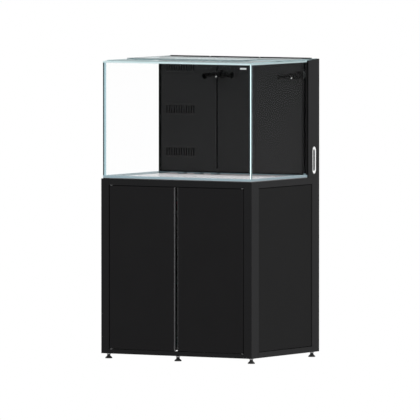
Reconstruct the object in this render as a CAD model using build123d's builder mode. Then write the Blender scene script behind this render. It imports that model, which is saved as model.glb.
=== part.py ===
"""Aquarium on a cabinet stand, with a rear overflow chamber and a sump in the cabinet.

Millimetres, +Z up. The origin is on the floor under the centre of the stand, and the doors face -Y.
"""
import os

from build123d import *

# ---------------------------------------------------------------- driving dimensions
WIDTH = 900.0
DEPTH = 700.0
HALF_W = WIDTH / 2
HALF_D = DEPTH / 2

STAND_BOTTOM = 27.0  # clear height under the frame
STAND_TOP = 933.0
POST_X = 46.0
POST_Y = 75.0
RAIL_DEEP = 40.0
TOP_RAIL_H = 33.0
FRONT_SILL_H = 23.0
SIDE_SILL_H = 29.0
TUBE_WALL = 2.0
GAP = 3.0  # shadow gap round doors and inset panels
BOARD = 18.0
PANEL = 12.0
DOOR_GAP = 20.0  # finger gap between the two doors
EDGE_TRIM = 1.5

TANK_INSET = 7.0
GLASS = 12.0
MAT = 4.0
TANK_TOP = 1533.0
BRACE = 8.0
BRACE_W = 50.0
SEAM = 0.2  # silicone joint between panes that share a node

WEIR_FRONT = 208.0
WEIR = 10.0
COLUMN_FRONT = 236.0
COLUMN_TOP = 1543.0
SILL_H = 22.0
SILL_SET = 1.0  # how far the sill stands behind the face of the wall
PANEL_SEAM_X = -81.5
PANEL_SEAM = 9.0

LID = 4.0
LID_PLAY = 0.4  # air between a lid and what it rests on
RUNNER = 10.0
RAIL_TOP = 1548.0

OUTLET_Z = 1465.0
OUTLET_LEFT_X = -50.0
OUTLET_RIGHT_X = 402.0

PIPE_Y = 275.0
DRAIN_X = -330.0
SPARE_DRAIN_X = -230.0
RETURN_X = -130.0
PIPE_R = 16.0
PIPE_BORE_R = 13.0

# ---------------------------------------------------------------- worked-out levels
MAT_TOP = STAND_TOP + MAT
FLOOR = MAT_TOP + GLASS  # inside floor of the tank
BRACE_TOP = TANK_TOP + BRACE
TANK_X = HALF_W - TANK_INSET
TANK_Y = HALF_D - TANK_INSET
IN_X = TANK_X - GLASS
IN_Y = TANK_Y - GLASS
OPENING_X = HALF_W - POST_X  # half width between the front posts
OPENING_Z = (STAND_BOTTOM + FRONT_SILL_H, STAND_TOP - TOP_RAIL_H)
SIDE_OPENING_Y = HALF_D - POST_Y
SIDE_SILL_TOP = STAND_BOTTOM + SIDE_SILL_H
BASE_TOP = SIDE_SILL_TOP + BOARD  # cabinet floor, where the sump stands


def block(x, y, z, mode=Mode.ADD):
    """A box that spans the three ranges."""
    with Locations(((x[0] + x[1]) / 2, (y[0] + y[1]) / 2, (z[0] + z[1]) / 2)):
        return Box(x[1] - x[0], y[1] - y[0], z[1] - z[0], mode=mode)


def tube(x, y, z, along, wall=TUBE_WALL):
    """A rectangular tube that spans the ranges and is open along one axis, 0 for X to 2 for Z."""
    block(x, y, z)
    inner = [[lo + wall, hi - wall] for lo, hi in (x, y, z)]
    inner[along] = (x, y, z)[along]
    block(*inner, mode=Mode.SUBTRACT)


def rod(centre, radius, length, axis=(0, 0, 1), mode=Mode.ADD):
    """A cylinder that starts at centre and runs along axis."""
    with Locations(Plane(origin=centre, z_dir=axis).location):
        align = (Align.CENTER, Align.CENTER, Align.MIN)
        return Cylinder(radius, length, align=align, mode=mode)


def both(value):
    """The same distance to each side of the centre plane."""
    return (-value, value)


def mirrored(low, high):
    """The range, and its mirror image."""
    return ((low, high), (-high, -low))


def save(built, node):
    """Label a finished piece and write its STEP file."""
    built.part.label = node
    export_step(built.part, f"parts/{node}.step")


os.makedirs("parts", exist_ok=True)

# ---------------------------------------------------------------- stand frame
OUTER_X = mirrored(OPENING_X, HALF_W)
OUTER_Y = mirrored(SIDE_OPENING_Y, HALF_D)
CROSS_Y = mirrored(HALF_D - RAIL_DEEP, HALF_D)
CROSS_X = mirrored(HALF_W - RAIL_DEEP, HALF_W)

with BuildPart() as corner_posts:
    for post_x in OUTER_X:
        for post_y in OUTER_Y:
            tube(post_x, post_y, (STAND_BOTTOM, STAND_TOP), along=2)
save(corner_posts, "corner_posts")

PIVOT_INSET = 12.0  # door pivot axis to the post
PIVOT_X = OPENING_X - PIVOT_INSET
PIVOT_Y = -HALF_D + BOARD / 2
PIN_R = 4.0
PIN_FLANGE_R = 8.0
PIN_FLANGE = 1.2
PIN_IN_DOOR = 14.0
PIN_REACH = 13.0  # the pin stops short of the blind end of its hole
FOOT_X = HALF_W - POST_X / 2
FOOT_Y = HALF_D - POST_Y / 2
MID_FOOT_Y = HALF_D - RAIL_DEEP / 2
STEM_R = 6.0
STEM_PLAY = 0.05
STEM_HOLE_PLAY = 2.0

with BuildPart() as top_rails:
    rail_z = (OPENING_Z[1], STAND_TOP)
    for rail_y in CROSS_Y:
        tube(both(OPENING_X), rail_y, rail_z, along=0)
    for rail_x in CROSS_X:
        tube(rail_x, both(SIDE_OPENING_Y), rail_z, along=1)
    for side in (-1, 1):
        rod((side * PIVOT_X, PIVOT_Y, OPENING_Z[1]), PIN_R, TUBE_WALL, mode=Mode.SUBTRACT)
save(top_rails, "top_rails")

with BuildPart() as bottom_rails:
    for rail_y in CROSS_Y:
        tube(both(OPENING_X), rail_y, (STAND_BOTTOM, OPENING_Z[0]), along=0)
    for rail_x in CROSS_X:
        tube(rail_x, both(SIDE_OPENING_Y), (STAND_BOTTOM, SIDE_SILL_TOP), along=1)
    for side in (-1, 1):
        start = (side * PIVOT_X, PIVOT_Y, OPENING_Z[0] - TUBE_WALL)
        rod(start, PIN_R, TUBE_WALL, mode=Mode.SUBTRACT)
        stem_start = (0, side * MID_FOOT_Y, STAND_BOTTOM)
        rod(stem_start, STEM_R + STEM_HOLE_PLAY, TUBE_WALL, mode=Mode.SUBTRACT)
save(bottom_rails, "bottom_rails")

BEAM = 30.0
BEAM_Y = (-100.0, 120.0)
with BuildPart() as cross_beams:
    deck_underside = STAND_TOP - BOARD
    for beam_y in BEAM_Y:
        span_y = (beam_y - BEAM / 2, beam_y + BEAM / 2)
        tube(both(HALF_W - RAIL_DEEP), span_y, (deck_underside - BEAM, deck_underside), along=0)
    tube(both(BEAM / 2), both(HALF_D - RAIL_DEEP), (STAND_BOTTOM, SIDE_SILL_TOP), along=1)
save(cross_beams, "cross_beams")

# ---------------------------------------------------------------- stand panels
PANEL_RECESS = 2.0
with BuildPart() as side_panels:
    panel_z = (SIDE_SILL_TOP + GAP, OPENING_Z[1] - GAP)
    for panel_x in mirrored(HALF_W - PANEL_RECESS - PANEL, HALF_W - PANEL_RECESS):
        block(panel_x, both(SIDE_OPENING_Y - GAP), panel_z)
save(side_panels, "side_panels")

CABLE_PORT = (260.0, 120.0)
CABLE_PORT_Z = 780.0
CABLE_PORT_R = 20.0
with BuildPart() as rear_panel:
    rear_y = (HALF_D - PANEL_RECESS - PANEL, HALF_D - PANEL_RECESS)
    block(both(OPENING_X - GAP), rear_y, (SIDE_SILL_TOP + GAP, OPENING_Z[1] - GAP))
    with BuildSketch(Plane.XZ.offset(-HALF_D)) as port:
        with Locations((0, CABLE_PORT_Z)):
            RectangleRounded(CABLE_PORT[0], CABLE_PORT[1], CABLE_PORT_R)
    extrude(amount=2 * PANEL + 2 * PANEL_RECESS, mode=Mode.SUBTRACT)
save(rear_panel, "rear_panel")

DOOR_CLEAR = 3.0
with BuildPart() as cabinet_floor:
    board_z = (SIDE_SILL_TOP, BASE_TOP)
    board_y = (-HALF_D + BOARD + DOOR_CLEAR, HALF_D - PANEL_RECESS - PANEL)
    block(both(HALF_W - PANEL_RECESS - PANEL), board_y, board_z)
    for post_x in OUTER_X:
        for post_y in OUTER_Y:
            block(post_x, post_y, board_z, mode=Mode.SUBTRACT)
save(cabinet_floor, "cabinet_floor")

PIPE_CUTOUT_X = (-385.0, -75.0)
PIPE_CUTOUT_Y = 235.0
with BuildPart() as top_deck:
    deck_z = (STAND_TOP - BOARD, STAND_TOP)
    block(both(HALF_W - RAIL_DEEP), both(SIDE_OPENING_Y), deck_z)
    block(both(OPENING_X), both(HALF_D - RAIL_DEEP), deck_z)
    block(PIPE_CUTOUT_X, (PIPE_CUTOUT_Y, HALF_D), deck_z, mode=Mode.SUBTRACT)
save(top_deck, "top_deck")

# ---------------------------------------------------------------- doors and their pivots
DOOR_Z = (OPENING_Z[0] + GAP, OPENING_Z[1] - GAP)
DOOR_Y = (-HALF_D, -HALF_D + BOARD)
DOOR_OUTER = OPENING_X - GAP
DOOR_INNER = DOOR_GAP / 2 + EDGE_TRIM
DOOR_EDGE_R = 5.0

for side, name in ((-1, "left"), (1, "right")):
    with BuildPart() as door:
        block(sorted((side * DOOR_INNER, side * DOOR_OUTER)), DOOR_Y, DOOR_Z)
        hinge_edges = door.edges().filter_by(Axis.Z).group_by(Axis.X)[-1 if side > 0 else 0]
        fillet(hinge_edges, DOOR_EDGE_R)
        for hole_z in (DOOR_Z[0], DOOR_Z[1] - PIN_IN_DOOR):
            rod((side * PIVOT_X, PIVOT_Y, hole_z), PIN_R + STEM_PLAY, PIN_IN_DOOR, mode=Mode.SUBTRACT)
    save(door, f"{name}_door")

    with BuildPart() as door_edge:
        block(sorted((side * DOOR_GAP / 2, side * DOOR_INNER)), DOOR_Y, DOOR_Z)
    save(door_edge, f"{name}_door_edge")

with BuildPart() as hinge_pins:
    for side in (-1, 1):
        axis_x = side * PIVOT_X
        top_start = (axis_x, PIVOT_Y, DOOR_Z[1] - PIN_REACH)
        rod(top_start, PIN_R, STAND_TOP - TUBE_WALL - top_start[2])
        rod((axis_x, PIVOT_Y, OPENING_Z[1] - PIN_FLANGE), PIN_FLANGE_R, PIN_FLANGE)
        low_start = (axis_x, PIVOT_Y, STAND_BOTTOM + TUBE_WALL)
        rod(low_start, PIN_R, DOOR_Z[0] + PIN_REACH - low_start[2])
        rod((axis_x, PIVOT_Y, OPENING_Z[0]), PIN_FLANGE_R, PIN_FLANGE)
save(hinge_pins, "hinge_pins")

CATCH_X = 60.0
CATCH = (44.0, 12.0, 15.0)
CATCH_SET = 1.5  # air between a shut door and its catch
with BuildPart() as magnet_catches:
    catch_y = (DOOR_Y[1] + CATCH_SET, DOOR_Y[1] + CATCH_SET + CATCH[1])
    for x in (-CATCH_X, CATCH_X):
        catch_x = (x - CATCH[0] / 2, x + CATCH[0] / 2)
        block(catch_x, catch_y, (OPENING_Z[1] - CATCH[2], OPENING_Z[1]))
save(magnet_catches, "magnet_catches")

# ---------------------------------------------------------------- levelling feet
PAD_R = 18.5
PAD_H = 5.0
CONE_LOW_R = 17.5
CONE_TOP_R = 8.0
CONE_H = 10.0
HEX_R = 10.0
HEX_H = 6.0
STEM_TOP = 46.0
INSERT_H = 18.0
MID_INSERT_HALF_X = 20.0
FOOT_PLACES = {
    "foot_front_left": (-FOOT_X, -FOOT_Y),
    "foot_front_centre": (0, -MID_FOOT_Y),
    "foot_front_right": (FOOT_X, -FOOT_Y),
    "foot_rear_left": (-FOOT_X, FOOT_Y),
    "foot_rear_centre": (0, MID_FOOT_Y),
    "foot_rear_right": (FOOT_X, FOOT_Y),
}
for name, (x, y) in FOOT_PLACES.items():
    with BuildPart() as foot:
        rod((x, y, 0), PAD_R, PAD_H)
        with Locations((x, y, PAD_H + CONE_H / 2)):
            Cone(CONE_LOW_R, CONE_TOP_R, CONE_H)
        rod((x, y, PAD_H), STEM_R, STEM_TOP - PAD_H)
        with BuildSketch(Plane.XY.offset(PAD_H + CONE_H)):
            with Locations((x, y)):
                RegularPolygon(HEX_R, 6)
        extrude(amount=HEX_H)
    save(foot, name)

with BuildPart() as foot_inserts:
    for x, y in FOOT_PLACES.values():
        at_corner = x != 0
        low = STAND_BOTTOM if at_corner else STAND_BOTTOM + TUBE_WALL
        half_x = POST_X / 2 - TUBE_WALL if at_corner else MID_INSERT_HALF_X
        half_y = POST_Y / 2 - TUBE_WALL if at_corner else RAIL_DEEP / 2 - TUBE_WALL
        block((x - half_x, x + half_x), (y - half_y, y + half_y), (low, low + INSERT_H))
        rod((x, y, low), STEM_R + STEM_PLAY, INSERT_H, mode=Mode.SUBTRACT)
save(foot_inserts, "foot_inserts")

# ---------------------------------------------------------------- tank
with BuildPart() as levelling_mat:
    block(both(TANK_X), both(TANK_Y), (STAND_TOP, MAT_TOP))
    block(PIPE_CUTOUT_X, (PIPE_CUTOUT_Y, HALF_D - RAIL_DEEP), (STAND_TOP, MAT_TOP), Mode.SUBTRACT)
save(levelling_mat, "levelling_mat")

PIPES_X = (DRAIN_X, SPARE_DRAIN_X, RETURN_X)
HOLE_R = 24.0
with BuildPart() as bottom_glass:
    block(both(TANK_X), both(TANK_Y), (MAT_TOP, FLOOR))
    for x in PIPES_X:
        rod((x, PIPE_Y, MAT_TOP), HOLE_R, GLASS, mode=Mode.SUBTRACT)
save(bottom_glass, "bottom_glass")

WALL_Z = (FLOOR, TANK_TOP)
with BuildPart() as front_glass:
    block(both(TANK_X), (-TANK_Y, -IN_Y), WALL_Z)
save(front_glass, "front_glass")

with BuildPart() as rear_glass:
    block(both(TANK_X), (IN_Y, TANK_Y), WALL_Z)
save(rear_glass, "rear_glass")

with BuildPart() as side_glass:
    for pane_x in mirrored(IN_X, TANK_X):
        block(pane_x, both(IN_Y), WALL_Z)
save(side_glass, "side_glass")

REAR_BRACE_W = 40.0
with BuildPart() as rim_braces:
    brace_z = (TANK_TOP, BRACE_TOP)
    front_edge = -TANK_Y + BRACE_W
    rear_edge = TANK_Y - REAR_BRACE_W
    block(both(TANK_X), (-TANK_Y, front_edge), brace_z)
    block(both(TANK_X), (rear_edge, TANK_Y), brace_z)
    for brace_x in mirrored(TANK_X - BRACE_W, TANK_X):
        block(brace_x, (front_edge + SEAM, rear_edge - SEAM), brace_z)
save(rim_braces, "rim_braces")

# ---------------------------------------------------------------- overflow wall and rear chamber
WEIR_Y = (WEIR_FRONT, WEIR_FRONT + WEIR)
SILL_TOP = FLOOR + SILL_H
SEAM_X = (PANEL_SEAM_X - PANEL_SEAM / 2, PANEL_SEAM_X + PANEL_SEAM / 2)
COMB_X = -304.0
COMB_Z = (1054.0, 1276.0, 1498.0)
COMB = (176.0, 52.0)
COMB_PLAY = 0.2
COMB_FLANGE = 6.0
COMB_FLANGE_T = 3.0
SLOT = (6.0, 40.0)
SLOT_COUNT = 12
SLOT_PITCH = 14.75
OUTLET_HOLE_R = 15.0
OUTLETS_X = (OUTLET_LEFT_X, OUTLET_RIGHT_X)

with BuildPart() as weir_sill:
    block(both(IN_X), (WEIR_FRONT + SILL_SET, WEIR_Y[1]), (FLOOR, SILL_TOP))
save(weir_sill, "weir_sill")

with BuildPart() as overflow_panel:
    block((-IN_X, SEAM_X[0]), WEIR_Y, (SILL_TOP, TANK_TOP))
    for z in COMB_Z:
        comb_x = (COMB_X - COMB[0] / 2, COMB_X + COMB[0] / 2)
        block(comb_x, WEIR_Y, (z - COMB[1] / 2, z + COMB[1] / 2), mode=Mode.SUBTRACT)
save(overflow_panel, "overflow_panel")

with BuildPart() as service_panel:
    block((SEAM_X[1], IN_X), WEIR_Y, (SILL_TOP, TANK_TOP))
    for x in OUTLETS_X:
        rod((x, WEIR_Y[0], OUTLET_Z), OUTLET_HOLE_R, WEIR, axis=(0, 1, 0), mode=Mode.SUBTRACT)
save(service_panel, "service_panel")

with BuildPart() as weir_combs:
    for z in COMB_Z:
        half = COMB[0] / 2 - COMB_PLAY
        tall = COMB[1] / 2 - COMB_PLAY
        block((COMB_X - half, COMB_X + half), WEIR_Y, (z - tall, z + tall))
        flange_y = (WEIR_Y[1], WEIR_Y[1] + COMB_FLANGE_T)
        flange_x = (COMB_X - half - COMB_FLANGE, COMB_X + half + COMB_FLANGE)
        block(flange_x, flange_y, (z - tall - COMB_FLANGE, z + tall + COMB_FLANGE))
    with Locations([(COMB_X, WEIR_FRONT + WEIR / 2, z) for z in COMB_Z]):
        with GridLocations(SLOT_PITCH, 1, SLOT_COUNT, 1):
            Box(SLOT[0], 4 * WEIR, SLOT[1], mode=Mode.SUBTRACT)
save(weir_combs, "weir_combs")

DIVIDER = 8.0
SEAM_STRIP = 3.0
MANIFOLD_Z = OUTLET_Z
with BuildPart() as chamber_divider:
    divider_x = (PANEL_SEAM_X - DIVIDER / 2, PANEL_SEAM_X + DIVIDER / 2)
    block(divider_x, (WEIR_Y[1], IN_Y), (FLOOR, TANK_TOP))
    block(SEAM_X, (WEIR_Y[1], WEIR_Y[1] + SEAM_STRIP), (SILL_TOP, TANK_TOP))
    rod((divider_x[0], PIPE_Y, MANIFOLD_Z), PIPE_R + 1, DIVIDER, axis=(1, 0, 0), mode=Mode.SUBTRACT)
save(chamber_divider, "chamber_divider")

COVER_SET = 0.3
WINDOW_Y = 299.0
WINDOW_Z = 1023.0
WINDOW = (36.0, 141.0)
WINDOW_GLASS = (22.0, 118.0)
COVER_X = (TANK_X + COVER_SET, HALF_W)
WINDOW_PLANE = Plane(origin=(COVER_X[0], WINDOW_Y, WINDOW_Z), x_dir=(0, 1, 0), z_dir=(1, 0, 0))
COVER = COVER_X[1] - COVER_X[0]

with BuildPart() as column_covers:
    for cover_x in mirrored(*COVER_X):
        block(cover_x, (COLUMN_FRONT, HALF_D), (STAND_TOP, COLUMN_TOP))
    with BuildSketch(WINDOW_PLANE):
        SlotOverall(WINDOW[1], WINDOW[0], rotation=90)
    extrude(amount=COVER, mode=Mode.SUBTRACT)
save(column_covers, "column_covers")

BEZEL_SET = 0.5
BEZEL_PLAY = 0.2
LENS_SET = 3.0
with BuildPart() as level_bezel:
    with BuildSketch(WINDOW_PLANE):
        SlotOverall(WINDOW[1] - 2 * BEZEL_PLAY, WINDOW[0] - 2 * BEZEL_PLAY, rotation=90)
        SlotOverall(WINDOW_GLASS[1], WINDOW_GLASS[0], rotation=90, mode=Mode.SUBTRACT)
    extrude(amount=COVER - BEZEL_SET)
save(level_bezel, "level_bezel")

with BuildPart() as level_lens:
    with BuildSketch(WINDOW_PLANE):
        SlotOverall(WINDOW_GLASS[1], WINDOW_GLASS[0], rotation=90)
    extrude(amount=COVER - LENS_SET)
save(level_lens, "level_lens")

with BuildPart() as rear_cover:
    block(both(TANK_X), (TANK_Y + COVER_SET, HALF_D), (STAND_TOP, COLUMN_TOP))
save(rear_cover, "rear_cover")

BACK_RAIL = 12.0
with BuildPart() as back_rail:
    block(both(HALF_W), (HALF_D - BACK_RAIL, HALF_D), (COLUMN_TOP, RAIL_TOP))
save(back_rail, "back_rail")

BADGE = (38.0, 1.2, 9.0)
BADGE_X = 76.0
BADGE_Z = 1493.0
BADGE_R = 2.5
with BuildPart() as blank_badge:
    with Locations((BADGE_X, WEIR_FRONT - BADGE[1] / 2, BADGE_Z)):
        Box(*BADGE)
    fillet(blank_badge.edges().filter_by(Axis.Y), BADGE_R)
save(blank_badge, "blank_badge")

# ---------------------------------------------------------------- lids
LID_FRONT = -318.0
LOWER_Z = (BRACE_TOP + LID_PLAY, BRACE_TOP + LID_PLAY + LID)
RUNNER_TOP = LOWER_Z[1] + LID_PLAY
UPPER_Z = (RUNNER_TOP + LID_PLAY, RUNNER_TOP + LID_PLAY + LID)
UPPER_FRONT = -100.0
CHAMBER_SPLIT = 222.0
NOTCH_X = 243.0
NOTCH_Y = 60.0
RUNNER_SHORT = 2.0
LID_SIDE_PLAY = 0.5
LID_OVERLAP = 40.0
LID_CORNER_R = 4.0
SPLIT_PLAY = 1.0

with BuildPart() as lid_runners:
    for runner_x in mirrored(TANK_X - RUNNER, TANK_X):
        block(runner_x, (LID_FRONT, HALF_D - BACK_RAIL - RUNNER_SHORT), (BRACE_TOP, RUNNER_TOP))
save(lid_runners, "lid_runners")

with BuildPart() as front_lid:
    block(both(TANK_X - RUNNER - LID_SIDE_PLAY), (LID_FRONT, UPPER_FRONT + LID_OVERLAP), LOWER_Z)
    fillet(front_lid.edges().filter_by(Axis.Z), LID_CORNER_R)
save(front_lid, "front_lid")

HANDLE_X = -230.0
HANDLE_Y = -270.0
HANDLE = (90.0, 16.0, 10.0)
HANDLE_R = 6.0
HANDLE_CHAMFER = 1.5
with BuildPart() as front_lid_handle:
    with Locations((HANDLE_X, HANDLE_Y, LOWER_Z[1] + HANDLE[2] / 2)):
        Box(*HANDLE)
    fillet(front_lid_handle.edges().filter_by(Axis.Z), HANDLE_R)
    chamfer(front_lid_handle.faces().sort_by(Axis.Z)[-1].edges(), HANDLE_CHAMFER)
save(front_lid_handle, "front_lid_handle")

with BuildPart() as rear_lid:
    block(both(TANK_X), (UPPER_FRONT, CHAMBER_SPLIT - SPLIT_PLAY), UPPER_Z)
    block((NOTCH_X, HALF_W), (UPPER_FRONT, NOTCH_Y), UPPER_Z, mode=Mode.SUBTRACT)
save(rear_lid, "rear_lid")

with BuildPart() as chamber_lid:
    chamber_y = (CHAMBER_SPLIT + SPLIT_PLAY, HALF_D - BACK_RAIL - SPLIT_PLAY)
    block(both(TANK_X), chamber_y, UPPER_Z)
save(chamber_lid, "chamber_lid")

# ---------------------------------------------------------------- return outlets
HUB_Y = 174.0
HUB_R = 15.0
HUB_CHAMFER = 4.0
SPIGOT_R = 10.0
BALL_R = 9.0
BALL_OUT = 24.0
BALL_STUB_R = 4.5
SOCKET_R = 12.5
SOCKET_L = 14.0
SOCKET_PLAY = 0.3
SOCKET_CUT = 3.0
RING_R = 12.0
RING_L = 9.0
NECK_R = 8.5
LINK_PITCH = 15.0
NECK_L = 8.0
NECK_LAP = 1.0
FLARE_R = 16.5
FLARE_L = 18.0
MOUTH_FLOOR = 3.0
MOUTH_WALL = 2.0
MOUTH_LIP = 1.0
DUCT_R = 5.5
COLLAR_R = 21.0
COLLAR = 6.0
BOSS = 10.0
FITTING_PLAY = 0.2
BLANK_R = 11.0
BLANK_OUT = 22.0
BLANK_CHAMFER = 1.5

with BuildPart() as wall_fittings:
    for x in OUTLETS_X:
        rod((x, WEIR_FRONT, OUTLET_Z), COLLAR_R, COLLAR, axis=(0, -1, 0))
        rod((x, WEIR_FRONT, OUTLET_Z), OUTLET_HOLE_R, COLLAR + BOSS, axis=(0, -1, 0))
        rod((x, WEIR_FRONT, OUTLET_Z), OUTLET_HOLE_R - FITTING_PLAY, WEIR, axis=(0, 1, 0))
        bore_start = (x, WEIR_FRONT - COLLAR - BOSS, OUTLET_Z)
        bore_length = COLLAR + BOSS + WEIR
        rod(bore_start, SPIGOT_R + STEM_PLAY, bore_length, axis=(0, 1, 0), mode=Mode.SUBTRACT)
save(wall_fittings, "wall_fittings")

for x, name, ball_sides in ((OUTLET_LEFT_X, "left", (-1, 1)), (OUTLET_RIGHT_X, "right", (-1,))):
    with BuildPart() as hub:
        centre = (x, HUB_Y, OUTLET_Z)
        rod((x, HUB_Y - HUB_R, OUTLET_Z), HUB_R, 2 * HUB_R, axis=(0, 1, 0))
        chamfer(hub.edges(), HUB_CHAMFER)
        rod(centre, SPIGOT_R, WEIR_FRONT - HUB_Y, axis=(0, 1, 0))
        if 1 not in ball_sides:
            rod(centre, BLANK_R, BLANK_OUT, axis=(1, 0, 0))
            chamfer(hub.faces().sort_by(Axis.X)[-1].edges(), BLANK_CHAMFER)
        for side in ball_sides:
            rod(centre, BALL_STUB_R, BALL_OUT, axis=(side, 0, 0))
            ball = Plane(origin=(x + side * BALL_OUT, HUB_Y, OUTLET_Z), z_dir=(side, 0, 0))
            with Locations(ball.location):
                Sphere(BALL_R)
        rod(centre, DUCT_R, WEIR_FRONT - HUB_Y, axis=(0, 1, 0), mode=Mode.SUBTRACT)
    save(hub, f"return_hub_{name}")


def outlet_arm(hub_x, side, headings):
    """Links from the hub's ball, one for each heading, and then a flared mouth along the last heading."""
    axes = [Vector(*heading).normalized() for heading in headings]
    spots = [Vector(hub_x + side * BALL_OUT, HUB_Y, OUTLET_Z)]
    for axis in axes[:-1]:
        spots.append(spots[-1] + axis * LINK_PITCH)
    with BuildPart() as arm:
        rod(spots[0] - axes[0] * SOCKET_CUT, SOCKET_R, SOCKET_L, axis=axes[0])
        for spot, axis in zip(spots[1:], axes[1:]):
            rod(spot - axis * RING_L / 2, RING_R, RING_L, axis=axis)
        for spot, axis in zip(spots, axes):
            rod(spot + axis * BALL_R, NECK_R, NECK_L, axis=axis)
        for spot, axis in zip(spots[1:], axes[1:]):
            rod(spot, NECK_R, BALL_R + NECK_LAP, axis=axis)
        start = spots[-1] + axes[-1] * BALL_R
        mouth = Plane(origin=start + axes[-1] * FLARE_L / 2, z_dir=axes[-1])
        with Locations(mouth.location):
            Cone(NECK_R, FLARE_R, FLARE_L)
        inner = Plane(origin=start + axes[-1] * (FLARE_L / 2 + MOUTH_FLOOR), z_dir=axes[-1])
        with Locations(inner.location):
            Cone(NECK_R - MOUTH_WALL, FLARE_R - MOUTH_LIP, FLARE_L, mode=Mode.SUBTRACT)
        with Locations(Plane(origin=spots[0], z_dir=axes[0]).location):
            Sphere(BALL_R + SOCKET_PLAY, mode=Mode.SUBTRACT)
    return arm


LEFT_BEND = [(-0.94, -0.34, -0.1), (-0.94, -0.34, -0.15), (-0.6, -0.78, -0.2), (0.1, -0.98, -0.15)]
RIGHT_RUN = [(0.99, -0.12, -0.1)] * 3
LONG_BEND = [(-0.99, -0.1, -0.08), (-0.99, -0.12, -0.1), (-0.95, -0.3, -0.12), (-0.85, -0.5, -0.15)]
save(outlet_arm(OUTLET_LEFT_X, -1, LEFT_BEND), "outlet_left_a")
save(outlet_arm(OUTLET_LEFT_X, 1, RIGHT_RUN), "outlet_left_b")
save(outlet_arm(OUTLET_RIGHT_X, -1, LONG_BEND), "outlet_right")

# ---------------------------------------------------------------- plumbing
FLANGE_R = 30.0
FLANGE = 5.0
BULKHEAD_LOW = 40.0
BULKHEAD_NUT = 14.0
BULKHEAD_PLAY = 0.3
with BuildPart() as bulkheads:
    for x in PIPES_X:
        rod((x, PIPE_Y, MAT_TOP - BULKHEAD_LOW), HOLE_R - BULKHEAD_PLAY, BULKHEAD_LOW + GLASS)
        rod((x, PIPE_Y, FLOOR), FLANGE_R, FLANGE)
        rod((x, PIPE_Y, MAT_TOP - BULKHEAD_NUT), FLANGE_R, BULKHEAD_NUT)
        low = (x, PIPE_Y, MAT_TOP - BULKHEAD_LOW)
        rod(low, PIPE_R, BULKHEAD_LOW + GLASS + FLANGE, mode=Mode.SUBTRACT)
save(bulkheads, "bulkheads")


def pipe(points, bend):
    """A round pipe along straight runs joined by arcs of one radius."""
    with BuildPart() as run:
        with BuildLine() as route:
            FilletPolyline(*points, radius=bend)
        with BuildSketch(Plane(origin=route.line @ 0, z_dir=route.line % 0)):
            Circle(PIPE_R)
            Circle(PIPE_BORE_R, mode=Mode.SUBTRACT)
        sweep()
    return run


BEND = 34.0
SUMP_Y = 20.0
DROP_Z = 620.0
SPARE_DROP_Z = 540.0
CUP_DEPTH_Z = 330.0
PIPE_SPLIT_Z = MAT_TOP - 8
PIPE_BREAK = 1.0  # between the pipes that meet in a bulkhead
STANDPIPE_TOP = {DRAIN_X: 1455.0, SPARE_DRAIN_X: 1485.0}
drain_runs = []
for x, drop in ((DRAIN_X, DROP_Z), (SPARE_DRAIN_X, SPARE_DROP_Z)):
    bends = [(x, PIPE_Y, drop), (x, SUMP_Y, drop)]
    drain_runs.append(pipe([(x, PIPE_Y, PIPE_SPLIT_Z), *bends, (x, SUMP_Y, CUP_DEPTH_Z)], BEND))
with BuildPart() as drain_pipes:
    for run in drain_runs:
        add(run.part)
    for x, stand_top in STANDPIPE_TOP.items():
        stand_start = (x, PIPE_Y, PIPE_SPLIT_Z + PIPE_BREAK)
        rod(stand_start, PIPE_R, stand_top - stand_start[2])
        rod(stand_start, PIPE_BORE_R, stand_top - stand_start[2], mode=Mode.SUBTRACT)
save(drain_pipes, "drain_pipes")

PUMP = (230.0, -20.0)
RETURN_DROP_Z = 700.0
PUMP_TOP = 196.0
TEE_STEP = 2.0  # the branch is a size smaller than the run
BRANCH_END = WEIR_Y[1] + 4.0
low_bends = [(*PUMP, RETURN_DROP_Z), (PUMP[0], PIPE_Y, RETURN_DROP_Z), (RETURN_X, PIPE_Y, RETURN_DROP_Z)]
low_run = pipe([(*PUMP, PUMP_TOP), *low_bends, (RETURN_X, PIPE_Y, PIPE_SPLIT_Z)], BEND)
high_bends = [(RETURN_X, PIPE_Y, MANIFOLD_Z), (OUTLET_RIGHT_X, PIPE_Y, MANIFOLD_Z)]
high_start = (RETURN_X, PIPE_Y, PIPE_SPLIT_Z + PIPE_BREAK)
high_run = pipe([high_start, *high_bends, (OUTLET_RIGHT_X, BRANCH_END, MANIFOLD_Z)], BEND)
with BuildPart() as return_pipe:
    add(low_run.part)
    add(high_run.part)
    tee = (OUTLET_LEFT_X, PIPE_Y, MANIFOLD_Z)
    rod(tee, PIPE_R - TEE_STEP, PIPE_Y - BRANCH_END, axis=(0, -1, 0))
    rod(tee, PIPE_BORE_R - TEE_STEP, PIPE_Y - BRANCH_END, axis=(0, -1, 0), mode=Mode.SUBTRACT)
save(return_pipe, "return_pipe")

VALVE_Z = 770.0
VALVE_R = 24.0
VALVE_H = 70.0
BONNET_R = 12.0
BONNET = 34.0
KNOB_R = 24.0
KNOB = 16.0
KNOB_GAP = 0.5
SHAFT_R = 4.0
FLUTES = 6
FLUTE_R = 6.0
FLUTE_OUT = 3.0
with BuildPart() as drain_valve:
    rod((DRAIN_X, PIPE_Y, VALVE_Z - VALVE_H / 2), VALVE_R, VALVE_H)
    rod((DRAIN_X, PIPE_Y, VALVE_Z), BONNET_R, VALVE_R + BONNET, axis=(0, -1, 0))
    rod((DRAIN_X, PIPE_Y, VALVE_Z), SHAFT_R, VALVE_R + BONNET + KNOB, axis=(0, -1, 0))
    rod((DRAIN_X, PIPE_Y, VALVE_Z - VALVE_H / 2), PIPE_R, VALVE_H, mode=Mode.SUBTRACT)
save(drain_valve, "drain_valve")

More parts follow.
